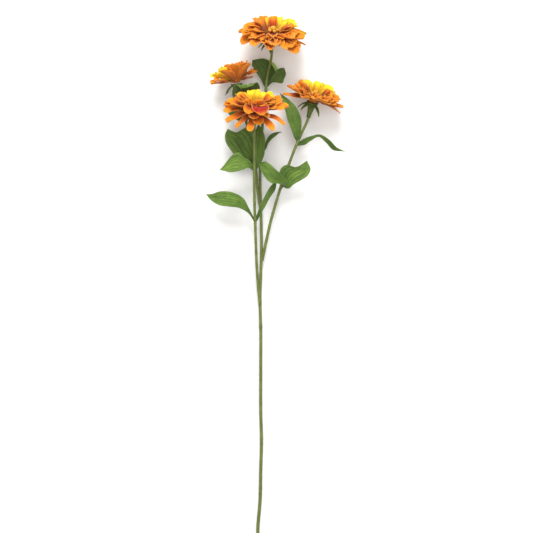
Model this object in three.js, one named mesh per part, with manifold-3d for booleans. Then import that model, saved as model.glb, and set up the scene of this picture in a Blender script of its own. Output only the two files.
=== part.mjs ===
// A zinnia spray lying on its side: one cut stem that forks into four, a double bloom on each,
// and fifteen leaves. Lengths are millimetres and angles are degrees. +Y runs from the cut end to
// the blooms, +X is to the right, and the surface that the spray lies on is z = 0.
import * as THREE from "three";
import { mergeVertices } from "three/addons/utils/BufferGeometryUtils.js";
import Module from "manifold-3d";

const wasm = await Module();
wasm.setup();

// ---------- Driving dimensions ----------

// The middle of the spray's footprint, measured from the cut end: the part's origin goes there.
const FOOTPRINT_MIDDLE = [26, 378.6];
const CLEARANCE = 0.3; // between neighbouring pieces
const PETAL_THICKNESS = 1.3; // at the middle of the blade; it thins to its edges
const LEAF_THICKNESS = 1.3;
const STEM_SIDES = 8;
const STEM_STEP = 30; // between the rings of a stem
const KNUCKLE_SWELL = 0.55; // how far a joint stands out of its stem
const KNUCKLE_SPREAD = 3.2; // how far along the stem it does so, each way
const SEAT_DEPTH = 11; // how far under its bloom's base a stem ends, inside the calyx
const NECK_DEPTH = 32; // from here on the stem is straight, in line with the bloom

// Each stem runs through its points and then up the neck of its bloom. It thins from the first
// radius to the second. Joints are the knuckles along it, as distances along +Y.
const STEMS = {
  main: {
    bloom: "top",
    radii: [2.4, 1.9],
    joints: [71, 143, 236, 310, 344, 413, 519, 655],
    points: [
      [0, 0, 2.15], [0, 22, 2.3], [3, 58, 2.8], [4, 102, 3.5], [5, 146, 4.3], [4, 189, 5.2],
      [4, 247, 6.4], [4, 305, 7.8], [3, 348, 9], [4, 384, 10], [5, 413, 10.8], [5, 442, 11.6],
      [4, 485, 12.8], [3, 521, 14], [4, 564, 15], [7, 607, 16], [11, 647, 18], [14, 672, 23],
    ],
  },
  front: {
    bloom: "front",
    radii: [2.1, 1.9],
    joints: [461, 533],
    points: [
      [3, 338, 8.8], [0, 372, 13], [-2, 403, 18], [-3, 432, 23], [-4, 461, 28.5], [-5, 495, 36],
      [-5, 533, 46],
    ],
  },
  right: {
    bloom: "right",
    radii: [2.2, 1.9],
    joints: [511, 572],
    points: [
      [6, 405, 10.8], [12, 433, 13], [18, 460, 15.5], [25, 485, 18.5], [33, 511, 22],
      [41, 534, 25], [49, 555, 27.5], [57, 575, 29.5],
    ],
  },
  left: {
    bloom: "left",
    radii: [2.0, 1.9],
    joints: [542, 616],
    points: [
      [4, 478, 12.6], [0, 502, 14.5], [-2, 524, 17], [-4, 545, 19.5], [-8, 568, 22.5],
      [-13, 592, 26],
    ],
  },
};

// Each bloom stands on its base point and leans to the right and up towards +Z. Elevations are
// each layer's angles above the bloom's own plane, at the root and at the tip, outermost first.
// Near is how far each layer is lifted, and to what share it is shortened, towards an azimuth.
// Bare gives the azimuths, of one layer, that have no petals. Strays are single petals: azimuth,
// two elevations, shares of the radius for the length and half the width, and the layer whose
// root circle they grow on.
const BLOOMS = {
  top: {
    base: [21, 722, 49],
    turn: 0,
    funnel: 11,
    lean: 4,
    tilt: 28,
    radius: 49,
    counts: [11, 10, 8, 7, 4],
    elevations: [[4, -20], [14, -8], [26, 4], [36, 10], [54, 30]],
    near: { towards: 270, layers: [[8, 0.88], [-4, 0.95], [-12, 0.9], [-24, 0.8], [-36, 0.75]] },
    bare: [[0, 222, 250]],
    strays: [
      [318, -2, -16, 0.92, 0.14, 0],
    ],
    sepals: [15, 70, 120, 170, 215, 262],
  },
  front: {
    base: [-4, 615, 74],
    turn: 9,
    funnel: 16,
    lean: 2,
    tilt: 26,
    radius: 45,
    counts: [12, 10, 9, 7, 5],
    elevations: [[14, 8], [16, 2], [26, 8], [40, 20], [60, 44]],
    near: { towards: 270, layers: [[-30, 1], [24, 0.7], [34, 0.6], [26, 0.6], [8, 0.8]] },
    bare: [[0, 200, 340], [1, 215, 325], [2, 240, 300], [4, 262, 320]],
    strays: [
      [206, -6, -34, 0.9, 0.12, 0], [234, -12, -40, 0.82, 0.1, 0],
      [256, -24, -58, 0.68, 0.11, 0], [280, -12, -40, 0.56, 0.15, 0],
      [312, -14, -42, 0.84, 0.13, 0], [338, -6, -26, 0.9, 0.14, 0],
      [262, 8, -20, 0.56, 0.16, 1], [300, 12, -14, 0.6, 0.16, 1],
      [283, 50, -50, 0.76, 0.22, 4], [252, 48, -38, 0.6, 0.18, 4],
    ],
    sepals: [15, 70, 120, 170, 215, 262, 310],
  },
  right: {
    base: [79, 634, 38.9],
    turn: 0,
    funnel: 23,
    lean: 16,
    tilt: 22,
    radius: 42,
    counts: [12, 10, 8, 7, 4],
    elevations: [[4, -2], [14, 8], [26, 18], [40, 30], [58, 48]],
    near: { towards: 270, layers: [[16, 0.78], [8, 0.8], [-4, 0.75], [-14, 0.65], [-36, 0.6]] },
    bare: [[0, 200, 310]],
    strays: [
      [350, -6, -12, 0.92, 0.15, 1],
    ],
    sepals: [70, 120, 170, 215, 262, 310],
  },
  left: {
    base: [-31, 661.5, 34.6],
    turn: 12,
    funnel: 16,
    lean: -8.6,
    tilt: 5,
    radius: 36.5,
    counts: [9, 9, 7, 6, 4],
    elevations: [[8, 0], [26, 16], [44, 34], [60, 50], [74, 62]],
    near: { towards: 310, layers: [[50, 0.85], [38, 0.9], [22, 0.95], [8, 1], [0, 1]] },
    bare: [],
    strays: [
      [340, 62, 56, 0.84, 0.15, 0], [205, 34, 24, 0.9, 0.15, 0], [221, 56, 48, 0.74, 0.15, 0],
      [192, 14, 4, 0.94, 0.15, 0],
    ],
    sepals: [10, 60, 110, 160, 208],
  },
};

// Shares of a bloom's radius, for each layer of petals, outermost first.
const PETAL_LENGTHS = [0.88, 0.84, 0.74, 0.62, 0.46];
const PETAL_HALF_WIDTHS = [0.168, 0.165, 0.158, 0.14, 0.12];
const ROOT_RADII = [0.15, 0.15, 0.16, 0.17, 0.2];
const ROOT_HEIGHTS = [0, 0.04, 0.08, 0.12, 0.15];
const CORE_PROFILE = [[0, -0.06], [0.16, -0.05], [0.25, 0], [0.25, 0.13], [0.19, 0.165], [0, 0.165]];
const CORE_SIDES = 12;
const CENTRE_RADIUS = 0.175;
const KNOB_RADIUS = 0.056;
const MIDDLE_KNOB_RADIUS = 0.095;
const KNOBS_ROUND = 5; // round the one in the middle

// How far one petal strays from the next: degrees, and shares of its length and width.
const PETAL_STRAY = { azimuth: 4, tip: 9, twist: 22, length: 0.06, halfWidth: 0.1 };
const PETAL_STAGGER = 3.5; // a layer's petals lie above and below it in turn, by these degrees

// The funnel under a bloom: millimetres of radius, and shares of its length below the rim. Its
// sepals hang from it.
const CALYX_RIM = -3.4;
const CALYX_PROFILE = [[0, 1], [3, 1], [3.3, 0.75], [4.3, 0.45], [6, 0.2], [8, 0.05], [8.6, 0], [0, 0]];
const CALYX_SIDES = 8;
const SEPAL = { length: 17, halfWidth: 3.1, root: [5, -6], elevations: [-14, -64] };

// Each leaf grows from its root, on its stem's axis, and spreads between its left and right
// margins, seen from its upper side towards its tip, where they meet. Fold lifts its margins and
// wave ripples them. Curl rolls one side over, beyond a share of the half width.
const LEAVES = {
  front_low_left: {
    root: [-4.5, 461, 28.5], fold: 0.16, wave: 0.6,
    left: [[-13, 472, 32], [-26, 480, 36], [-40, 482, 38], [-54, 484, 36], [-65, 490, 31], [-74, 500, 26]],
    right: [[-13, 480, 32], [-21, 494, 36], [-35, 502, 37], [-51, 504, 36], [-64, 501, 31], [-74, 500, 26]],
  },
  front_low_right: {
    root: [-3.5, 461, 28.5], fold: 0.2, wave: 0.4,
    left: [[1, 478, 31], [4, 487, 34], [10, 498, 36], [15, 507, 35], [21, 515, 31], [26, 519, 26]],
    right: [[7, 477, 30], [12, 485, 30], [17, 496, 31], [24, 506, 30], [26, 513, 28], [26, 519, 26]],
  },
  front_high_left: {
    root: [-5, 534, 46], fold: 0.15, wave: 0.7,
    left: [[-14, 537, 50], [-22, 534, 56], [-31, 531, 59], [-39, 530, 58], [-46, 532, 55], [-54, 534, 50]],
    right: [[-12, 547, 51], [-20, 551, 57], [-27, 558, 60], [-34, 555, 59], [-44, 545, 55], [-54, 534, 50]],
  },
  front_high_right: {
    root: [-5, 532, 45.5], fold: 0.2, wave: 0.5,
    left: [[-5, 544, 42], [-6, 557, 39], [-6, 569, 36], [-5, 580, 34], [-3, 591, 32], [1, 601, 30]],
    right: [[4, 543, 42], [9, 556, 39], [10, 569, 36], [10, 580, 34], [7, 591, 32], [1, 601, 30]],
  },
  right_low_left: {
    root: [31.8, 507, 21.8], fold: 0.15, wave: 0.5,
    left: [[37, 512, 35], [29, 515, 42], [20, 515, 47], [13, 520, 49], [6, 531, 48], [2, 542, 45]],
    right: [[42, 517, 35], [35, 526, 41], [26, 534, 46], [17, 542, 48], [9, 546, 48], [2, 542, 45]],
  },
  right_low_right: {
    root: [34, 513.5, 22.6], fold: 0.2, wave: 0.9,
    left: [[35, 516, 26], [31, 528, 32], [34, 538, 37], [42, 542, 40], [56, 539, 42], [70, 547, 42]],
    right: [[44, 509, 25], [52, 515, 30], [62, 521, 36], [71, 527, 39], [75, 536, 42], [70, 547, 42]],
  },
  right_high_left: {
    root: [57, 576, 29.7], fold: 0.25, wave: 0.5,
    left: [[51, 583, 34], [47, 594, 38], [42, 606, 41], [39, 618, 42], [35, 631, 40], [32, 644, 35]],
    right: [[61, 586, 33], [62, 597, 36], [61, 609, 38], [56, 621, 40], [45, 634, 39], [32, 644, 35]],
  },
  right_high_right: {
    root: [55, 571, 29.2], fold: 0.2, wave: 0.3,
    left: [[65, 579, 33], [76, 583, 36], [89, 585, 38], [102, 578, 34], [113, 568, 27], [125, 562, 21]],
    right: [[67, 571, 31], [75, 576, 34], [87, 582, 36], [98, 574, 31], [108, 564, 24], [125, 562, 21]],
  },
  top_low_left: {
    root: [11.5, 655, 19.4], fold: 0.1, wave: 0.4, curl: { side: -1, from: 0.35, radius: 4.2 },
    left: [[22, 661, 16], [33, 669, 18], [38, 680, 20], [30, 691, 24], [12, 696, 27], [-8, 692, 29]],
    right: [[5, 665, 16], [0, 672, 20], [-5, 680, 24], [-8, 684, 26], [-8, 688, 28], [-8, 692, 29]],
  },
  top_low_right: {
    root: [12, 656, 19.6], fold: 0.2, wave: 0.6,
    left: [[17, 665, 24], [22, 671, 28], [26, 677, 30], [30, 680, 30], [34, 681, 30], [38, 681, 27]],
    right: [[20, 661, 21], [27, 661, 23], [34, 660, 24], [37, 666, 25], [40, 673, 26], [38, 681, 27]],
  },
  left_high_front: {
    root: [-20.5, 616, 30.6], fold: 0.1, wave: 0.4,
    left: [[-10, 630, 29], [-1, 641, 31], [3, 651, 39], [0, 657, 47], [-4, 656, 52], [-8, 653, 53]],
    right: [[-31, 629, 31], [-36, 640, 38], [-35, 649, 47], [-31, 653, 52], [-28, 652, 54], [-24, 648, 53]],
  },
  left_high_left: {
    root: [-18, 607, 28.5], fold: 0.15, wave: 0.4,
    left: [[-26, 605, 28], [-33, 608, 28], [-39, 612, 28], [-43, 617, 27], [-46, 623, 26], [-46, 633, 25]],
    right: [[-24, 613, 28], [-29, 620, 28], [-35, 625, 28], [-39, 630, 28], [-43, 633, 26], [-46, 633, 25]],
  },
  left_low_left: {
    root: [-4, 540, 18.7], fold: 0.2, wave: 1.2,
    left: [[-18, 548, 26], [-32, 555, 32], [-40, 564, 36], [-46, 574, 37], [-47, 584, 37], [-43, 593, 36]],
    right: [[0, 555, 24], [-1, 572, 28], [-6, 588, 31], [-16, 596, 34], [-29, 588, 36], [-43, 593, 36]],
  },
  left_low_right: {
    root: [-4.5, 546, 19.8], fold: 0.15, wave: 0.4,
    left: [[-11, 556, 18], [-15, 567, 16], [-17, 579, 16], [-18, 589, 18], [-17, 597, 18], [-14, 605, 18]],
    right: [[-2, 557, 17], [-2, 569, 16], [-3, 580, 16], [-5, 590, 18], [-9, 599, 18], [-14, 605, 18]],
  },
  top_mid_right: {
    root: [4, 561, 15], fold: 0.2, wave: 0.3,
    left: [[9, 571, 19], [13, 580, 22], [18, 586, 24], [24, 589, 24], [29, 590, 22], [34, 590, 19]],
    right: [[11, 565, 18], [15, 574, 20], [20, 580, 22], [25, 584, 22], [30, 588, 22], [34, 590, 19]],
  },
};

const PETAL_STATIONS = [0, 0.42, 0.78, 1]; // shares of a petal's length
const BLUNT_END = 0.965; // a petal ends as wide as it is at this share of its length
const LEAF_STATIONS = [0, 0.083, 0.167, 0.333, 0.5, 0.667, 0.833, 0.94];
const LEAF_BASE = 1.7; // half of a leaf's width at its root
const SEPAL_STATIONS = [0, 0.35, 0.7];
const PETAL_COLUMNS = [-1, 0, 1]; // shares of the half width across a blade
const LEAF_COLUMNS = [-1, -0.5, 0, 0.5, 1];
const CURLED_COLUMNS = [-1, -0.85, -0.7, -0.55, -0.4, 0, 1];

const COLOURS = {
  petals: ["#f28a18", 0.75],
  centre: ["#c98a1e", 0.8],
  calyx: ["#5c7f34", 0.65],
  leaf: ["#5d8a3a", 0.7],
  stem: ["#6f8038", 0.5],
};

// ---------- Solids ----------

const radians = THREE.MathUtils.degToRad;
const vector = (point) => new THREE.Vector3(...point);

// A repeatable number from 0 to 1, so that no two petals are alike.
function vary(seed, index) {
  const value = Math.sin(seed * 12.9898 + index * 78.233) * 43758.5453;
  return value - Math.floor(value);
}

// A closed solid from points and triangles that may face either way.
function solidFrom(points, faces) {
  const make = (order) =>
    new wasm.Manifold(
      new wasm.Mesh({
        numProp: 3,
        vertProperties: new Float32Array(points.flatMap((p) => [p.x, p.y, p.z])),
        triVerts: new Uint32Array(order),
      }),
    );
  const solid = make(faces);
  return solid.volume() > 0 ? solid : make([...faces].reverse());
}

function solidFromGeometry(geometry) {
  geometry.deleteAttribute("normal");
  geometry.deleteAttribute("uv");
  const merged = mergeVertices(geometry, 1e-4);
  const position = merged.getAttribute("position");
  const points = Array.from({ length: position.count }, (_, i) =>
    new THREE.Vector3().fromBufferAttribute(position, i),
  );
  return solidFrom(points, [...merged.index.array]);
}

// A closed skin over rings of points. It ends in a point where a tip is given.
function loft(rings, tip) {
  const count = rings[0].length;
  const last = (rings.length - 1) * count;
  const points = rings.flat();
  const faces = [];
  for (let row = 0; row + 1 < rings.length; row++)
    for (let k = 0; k < count; k++) {
      const next = (k + 1) % count;
      const [a, b] = [row * count + k, row * count + next];
      const [c, d] = [b + count, a + count];
      // A blade's two faces are split alike, so they never cross.
      if (k < count / 2) faces.push(a, b, c, a, c, d);
      else faces.push(a, b, d, b, c, d);
    }
  const cap = (start, turned) => {
    for (let k = 0; k < count / 2; k++) {
      const corners = [k, k + 1, count - k - 1, (count - k) % count];
      const outline = [...new Set(corners)].map((corner) => start + corner);
      for (let i = 1; i + 1 < outline.length; i++) {
        const face = [outline[0], outline[i], outline[i + 1]];
        faces.push(...(turned ? face : face.reverse()));
      }
    }
  };
  cap(0, false);
  if (tip) {
    points.push(tip);
    for (let k = 0; k < count; k++)
      faces.push(last + k, last + ((k + 1) % count), points.length - 1);
  } else cap(last, true);
  return solidFrom(points, faces);
}

// One section of a thin blade, thickest at its middle. Rise(x) lifts it across its width, and
// slide(x) is how far out that point of it lies.
function bladeRing({ middle, side, normal, half, rise, slide = (x) => x * half }, columns, thickness) {
  const at = (x, face) =>
    middle
      .clone()
      .addScaledVector(side, slide(x))
      .addScaledVector(normal, rise(x) + (face * thickness * (1 - x * x)) / 2);
  const inner = columns.slice(1, -1).reverse();
  return [...columns.map((x) => at(x, 1)), ...inner.map((x) => at(x, -1))];
}

function bladeSolid(stations, tip, columns, thickness) {
  return loft(
    stations.map((station) => bladeRing(station, columns, thickness)),
    tip,
  );
}

function largestBody(solid) {
  return solid.decompose().reduce((a, b) => (a.volume() > b.volume() ? a : b));
}

function addMesh(group, name, solid, [colour, roughness]) {
  const { vertProperties, triVerts } = solid.getMesh();
  const geometry = new THREE.BufferGeometry()
    .setAttribute("position", new THREE.BufferAttribute(vertProperties, 3))
    .setIndex(new THREE.BufferAttribute(triVerts, 1));
  geometry.computeVertexNormals();
  const material = new THREE.MeshStandardMaterial({ color: colour, roughness, metalness: 0 });
  const mesh = new THREE.Mesh(geometry, material);
  mesh.name = name;
  group.add(mesh);
}

// ---------- Blooms ----------

// A bloom's own frame: its axis is local +Z, local +X lies to the right, and local +Y points
// away from above.
function bloomFrame({ base, lean, tilt }) {
  const axis = new THREE.Vector3(
    Math.sin(radians(lean)) * Math.cos(radians(tilt)),
    Math.cos(radians(lean)) * Math.cos(radians(tilt)),
    Math.sin(radians(tilt)),
  );
  const right = new THREE.Vector3(1, 0, 0);
  right.addScaledVector(axis, -right.dot(axis)).normalize();
  const back = axis.clone().cross(right);
  return new THREE.Matrix4().makeBasis(right, back, axis).setPosition(...base);
}

// A blade that grows from a bloom's axis along an arc: radius and height at a share s of it.
function arcBlade({ azimuth, root, length, elevations, twist }, s) {
  const [start, end] = elevations.map(radians);
  const bend = end - start;
  const elevation = start + bend * s;
  const radius = root[0] + (length * (Math.sin(elevation) - Math.sin(start))) / bend;
  const height = root[1] - (length * (Math.cos(elevation) - Math.cos(start))) / bend;
  const [cos, sin] = [Math.cos(radians(azimuth)), Math.sin(radians(azimuth))];
  const tangent = vector([cos * Math.cos(elevation), sin * Math.cos(elevation), Math.sin(elevation)]);
  const side = vector([sin, -cos, 0]).applyAxisAngle(tangent, radians(twist * s));
  return {
    middle: vector([cos * radius, sin * radius, height]),
    side,
    normal: side.clone().cross(tangent),
  };
}

// A petal is narrow at its root, widest at two thirds of its length, and round or pointed.
function petalWidth(s, point) {
  const widest = 0.66;
  const opening = Math.sin((Math.PI / 2) * Math.min(1, s / widest));
  const closing = s > widest ? 1 - ((s - widest) / (1 - widest)) ** point : 1;
  return (0.22 + 0.78 * opening) * Math.sqrt(Math.max(0, closing));
}

function petalShape(bloom, layer, seed, azimuth, elevations, length, half) {
  const swing = (index, amount) => (2 * vary(seed, index) - 1) * amount;
  const [rootLift, tipLift] = elevations;
  return {
    azimuth: azimuth + swing(1, PETAL_STRAY.azimuth),
    root: [ROOT_RADII[layer] * bloom.radius, ROOT_HEIGHTS[layer] * bloom.radius],
    length: bloom.radius * length * (1 + swing(2, PETAL_STRAY.length)),
    elevations: [rootLift, tipLift + swing(3, PETAL_STRAY.tip)],
    twist: swing(4, PETAL_STRAY.twist),
    half: bloom.radius * half * (1 + swing(5, PETAL_STRAY.halfWidth)),
    cup: 0.2 + 0.25 * vary(seed, 6) + 0.05 * layer,
    point: 1.3 + 1.5 * vary(seed, 7),
  };
}

// The petals of one layer, leaving out those of its bare azimuths.
function layerPetals(bloom, layer) {
  const count = bloom.counts[layer];
  const [lift, share] = bloom.near.layers[layer];
  const bare = (azimuth) =>
    bloom.bare.some(([at, from, to]) => at === layer && azimuth % 360 > from && azimuth % 360 < to);
  return Array.from({ length: count }, (_, number) => {
    const azimuth = bloom.turn + ((number + 0.5 * (layer % 2)) * 360) / count;
    if (bare(azimuth)) return null;
    const near = Math.max(0, Math.cos(radians(azimuth - bloom.near.towards)));
    const stagger = number % 2 ? PETAL_STAGGER : -PETAL_STAGGER;
    const elevations = bloom.elevations[layer].map((lifted) => lifted + stagger + near * lift);
    const length = PETAL_LENGTHS[layer] * (1 + near * (share - 1));
    const seed = bloom.base[1] + 31 * layer + number;
    return petalShape(bloom, layer, seed, azimuth, elevations, length, PETAL_HALF_WIDTHS[layer]);
  }).filter(Boolean);
}

function strayPetals(bloom) {
  return bloom.strays.map(([azimuth, root, tip, length, half, layer], number) =>
    petalShape(bloom, layer, bloom.base[1] + 900 + number, azimuth, [root, tip], length, half),
  );
}

function petalSolid(petal) {
  const stations = PETAL_STATIONS.map((s) => {
    const half = petal.half * petalWidth(Math.min(s, BLUNT_END), petal.point);
    return { ...arcBlade(petal, s), half, rise: (x) => petal.cup * half * x * x };
  });
  return bladeSolid(stations, null, PETAL_COLUMNS, PETAL_THICKNESS);
}

function turned(profile, scale, sides) {
  const points = profile.map(([radius, height]) => new THREE.Vector2(radius * scale, height * scale));
  return solidFromGeometry(new THREE.LatheGeometry(points, sides).rotateX(Math.PI / 2));
}

// All the petals of one bloom, grown together on the core that carries them.
function petalsSolid(bloom) {
  const petals = [...bloom.counts.flatMap((_, layer) => layerPetals(bloom, layer)), ...strayPetals(bloom)];
  return petals.reduce(
    (solid, petal) => solid.add(petalSolid(petal)),
    turned(CORE_PROFILE, bloom.radius, CORE_SIDES),
  );
}

// The disc: one knob in the middle and a ring of them round it, on a low dome.
function centreSolid(bloom) {
  const floor = CORE_PROFILE.at(-1)[1] * bloom.radius + CLEARANCE;
  const size = KNOB_RADIUS * bloom.radius;
  const middle = MIDDLE_KNOB_RADIUS * bloom.radius;
  const reach = CENTRE_RADIUS * bloom.radius - size;
  const knob = (radius, x, y, z) =>
    solidFromGeometry(new THREE.IcosahedronGeometry(radius).translate(x, y, z));
  const dome = [[0, 0], [reach, 0], [reach, size], [0, size * 1.4]];
  let solid = turned(dome, 1, KNOBS_ROUND).translate([0, 0, floor]);
  for (let k = 0; k < KNOBS_ROUND; k++) {
    const turn = (k * 2 * Math.PI) / KNOBS_ROUND;
    solid = solid.add(knob(size, reach * Math.cos(turn), reach * Math.sin(turn), floor + size));
  }
  return solid.add(knob(middle, 0, 0, floor + middle));
}

function sepalSolid(azimuth, seed) {
  const { length, halfWidth, root, elevations } = SEPAL;
  const shape = {
    azimuth,
    root,
    length: length * (0.85 + 0.3 * vary(seed, azimuth)),
    elevations,
    twist: 30 * (vary(seed, azimuth + 1) - 0.5),
  };
  const stations = SEPAL_STATIONS.map((s) => {
    const half = halfWidth * (1 - 0.75 * s * s);
    return { ...arcBlade(shape, s), half, rise: (x) => 0.3 * half * x * x };
  });
  return bladeSolid(stations, arcBlade(shape, 1).middle, PETAL_COLUMNS, PETAL_THICKNESS);
}

function calyxSolid(bloom) {
  const funnel = CALYX_PROFILE.map(([radius, depth]) => [radius, CALYX_RIM - depth * bloom.funnel]);
  return bloom.sepals.reduce(
    (solid, azimuth) => solid.add(sepalSolid(azimuth, bloom.base[1])),
    turned(funnel, 1, CALYX_SIDES),
  );
}

// ---------- Stems ----------

function stemCurve({ bloom, points }) {
  const frame = bloomFrame(BLOOMS[bloom]);
  const neck = [NECK_DEPTH, SEAT_DEPTH].map((depth) => vector([0, 0, -depth]).applyMatrix4(frame));
  return new THREE.CatmullRomCurve3([...points.map(vector), ...neck], false, "catmullrom", 0.5);
}

function stemRadius({ radii, joints }, share, y) {
  const swell = (at) => KNUCKLE_SWELL * Math.exp(-(((y - at) / KNUCKLE_SPREAD) ** 2));
  return joints.reduce((sum, at) => sum + swell(at), radii[0] + (radii[1] - radii[0]) * share);
}

// Shares of the curve where rings go: even steps, and three more at each joint.
function stemStations(curve, joints) {
  const steps = Math.ceil(curve.getLength() / STEM_STEP);
  const shares = Array.from({ length: steps + 1 }, (_, i) => i / steps);
  const beside = 1.5 * KNUCKLE_SPREAD;
  const heights = joints.flatMap((at) => [at - beside, at, at + beside]);
  for (const y of heights) {
    let [low, high] = [0, 1];
    for (let i = 0; i < 20; i++) {
      const middle = (low + high) / 2;
      if (curve.getPointAt(middle).y < y) low = middle;
      else high = middle;
    }
    shares.push(low);
  }
  const ordered = shares.sort((a, b) => a - b);
  return ordered.filter((s, i) => i === 0 || s - ordered[i - 1] > 0.004);
}

function stemSolid(stem, extra = 0) {
  const curve = stemCurve(stem);
  const rings = stemStations(curve, stem.joints).map((share) => {
    const middle = curve.getPointAt(share);
    const tangent = curve.getTangentAt(share);
    const side = new THREE.Vector3(1, 0, 0);
    side.addScaledVector(tangent, -side.dot(tangent)).normalize();
    const up = side.clone().cross(tangent);
    const radius = stemRadius(stem, share, middle.y) + extra;
    return Array.from({ length: STEM_SIDES }, (_, k) => {
      const turn = ((k + 0.5) * 2 * Math.PI) / STEM_SIDES;
      return middle
        .clone()
        .addScaledVector(side, radius * Math.cos(turn))
        .addScaledVector(up, radius * Math.sin(turn));
    });
  });
  return loft(rings);
}

// ---------- Leaves ----------

// A smooth curve through a leaf's margin, from beside its root to its tip.
function marginCurve(root, points) {
  return new THREE.CatmullRomCurve3([root, ...points.map(vector)], false, "catmullrom", 0.5);
}

function leafSolid({ root, left, right, fold, wave, curl }) {
  const spread = vector(right[0]).sub(vector(left[0])).normalize();
  const beside = (amount) => vector(root).addScaledVector(spread, amount);
  const margins = [marginCurve(beside(-LEAF_BASE), left), marginCurve(beside(LEAF_BASE), right)];
  const middleAt = (s) => margins[0].getPoint(s).add(margins[1].getPoint(s)).multiplyScalar(0.5);
  const stations = LEAF_STATIONS.map((s) => {
    const [from, to] = margins.map((margin) => margin.getPoint(s));
    const side = to.clone().sub(from).normalize();
    const half = from.distanceTo(to) / 2;
    const tangent = middleAt(Math.min(1, s + 0.01)).sub(middleAt(Math.max(0, s - 0.01))).normalize();
    const ripple = (x) => wave * Math.sin(2 * Math.PI * (1.6 * s + 0.25 * x)) * x * x;
    // A rolled side turns about an axis along the leaf, and comes back over it.
    const roll = (x) => {
      const beyond = curl ? Math.max(0, x * curl.side - curl.from) * half : 0;
      const turn = beyond / (curl?.radius ?? 1);
      return beyond && curl
        ? [curl.side * (curl.from * half + curl.radius * Math.sin(turn)), curl.radius * (Math.cos(turn) - 1)]
        : [x * half, 0];
    };
    return {
      middle: middleAt(s),
      side,
      normal: side.clone().cross(tangent).normalize(),
      half,
      slide: (x) => roll(x)[0],
      rise: (x) => fold * half * Math.abs(x) ** 1.5 + ripple(x) + roll(x)[1],
    };
  });
  const columns = curl ? CURLED_COLUMNS : LEAF_COLUMNS;
  return bladeSolid(stations, vector(left.at(-1)), columns, LEAF_THICKNESS);
}

// ---------- The spray ----------

const spray = new THREE.Group();
spray.position.set(-FOOTPRINT_MIDDLE[0], -FOOTPRINT_MIDDLE[1], 0);

const onSurface = (solid) => largestBody(solid.trimByPlane([0, 0, 1], 0));
const stems = Object.values(STEMS);
const stemAndBranches = stems.map((stem) => stemSolid(stem)).reduce((a, b) => a.add(b));
const stemRoom = stems.map((stem) => stemSolid(stem, CLEARANCE)).reduce((a, b) => a.add(b));

addMesh(spray, "stem", onSurface(stemAndBranches), COLOURS.stem);

for (const [name, leaf] of Object.entries(LEAVES))
  addMesh(spray, `leaf_${name}`, onSurface(leafSolid(leaf).subtract(stemRoom)), COLOURS.leaf);

for (const [name, bloom] of Object.entries(BLOOMS)) {
  const place = bloomFrame(bloom).toArray();
  const calyx = calyxSolid(bloom).transform(place).subtract(stemRoom);
  addMesh(spray, `${name}_petals`, onSurface(petalsSolid(bloom).transform(place)), COLOURS.petals);
  addMesh(spray, `${name}_centre`, centreSolid(bloom).transform(place), COLOURS.centre);
  addMesh(spray, `${name}_calyx`, onSurface(calyx), COLOURS.calyx);
}

export default spray;
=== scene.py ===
# %% [markdown]
# # A zinnia spray
# One cut stem forks into four. Each fork carries a double bloom, and fifteen leaves sit at the
# joints. The spray lies on a pale floor and is seen from straight above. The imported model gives
# the frame: every piece below is made in that frame, in metres, and stands for one of its nodes.

# %% Load the frame
import math

import bmesh
import bpy
from mathutils import Matrix, Vector


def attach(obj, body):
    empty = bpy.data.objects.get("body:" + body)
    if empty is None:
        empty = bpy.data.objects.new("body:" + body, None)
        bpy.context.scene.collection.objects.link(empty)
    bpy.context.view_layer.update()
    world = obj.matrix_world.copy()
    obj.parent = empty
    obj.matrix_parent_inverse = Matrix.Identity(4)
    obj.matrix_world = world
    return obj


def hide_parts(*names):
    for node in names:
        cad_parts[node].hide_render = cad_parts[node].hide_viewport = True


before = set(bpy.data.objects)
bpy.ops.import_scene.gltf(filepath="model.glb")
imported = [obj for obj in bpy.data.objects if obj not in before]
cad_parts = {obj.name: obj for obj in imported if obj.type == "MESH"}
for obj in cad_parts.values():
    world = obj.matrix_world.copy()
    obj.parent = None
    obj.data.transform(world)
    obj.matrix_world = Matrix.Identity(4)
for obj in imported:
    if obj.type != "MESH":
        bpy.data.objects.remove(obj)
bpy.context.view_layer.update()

# %% [markdown]
# ## Units and small helpers
# A florist measures a spray in millimetres from its cut end, so the tables below do too. One
# function turns such a point into the frame, whose origin is under the middle of the spray.
# Long rows of points are written as plain numbers: x, y and z of the first, then of the next.
# Natural things are never twice the same, so `vary` gives each petal its own repeatable numbers.

# %% Units and helpers
MM = 0.001
FOOTPRINT_MIDDLE = Vector((26, 378.6, 0))  # millimetres from the cut end
BODY = "root"


def place(point):
    """A point in millimetres from the cut end, as a point of the frame."""
    return (Vector(point) - FOOTPRINT_MIDDLE) * MM


def points_of(numbers):
    """A plain row of numbers, taken three at a time as points."""
    return [Vector(numbers[i : i + 3]) for i in range(0, len(numbers), 3)]


def vary(seed, index):
    """A repeatable number from 0 to 1."""
    value = math.sin(seed * 12.9898 + index * 78.233) * 43758.5453
    return value - math.floor(value)


def swing(seed, index, amount):
    """A repeatable number from -amount to amount."""
    return (2 * vary(seed, index) - 1) * amount


def mix(a, b, share):
    return a + (b - a) * share


def add_object(name, data):
    """An object at the origin, in the scene."""
    added = bpy.data.objects.new(name, data)
    bpy.context.scene.collection.objects.link(added)
    return added


def smooth(low, high, value):
    """0 below low, 1 above high, and an even S between them."""
    share = min(1.0, max(0.0, (value - low) / (high - low)))
    return share * share * (3 - 2 * share)


def bump_at(value, centre, width):
    """A bell of height 1 round centre."""
    return math.exp(-(((value - centre) / width) ** 2))


# %% [markdown]
# ## Camera
# The spray is looked at from straight above, from far enough away that its parts keep their
# proportions. The lens follows from how wide a strip of floor the picture takes in.

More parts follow.
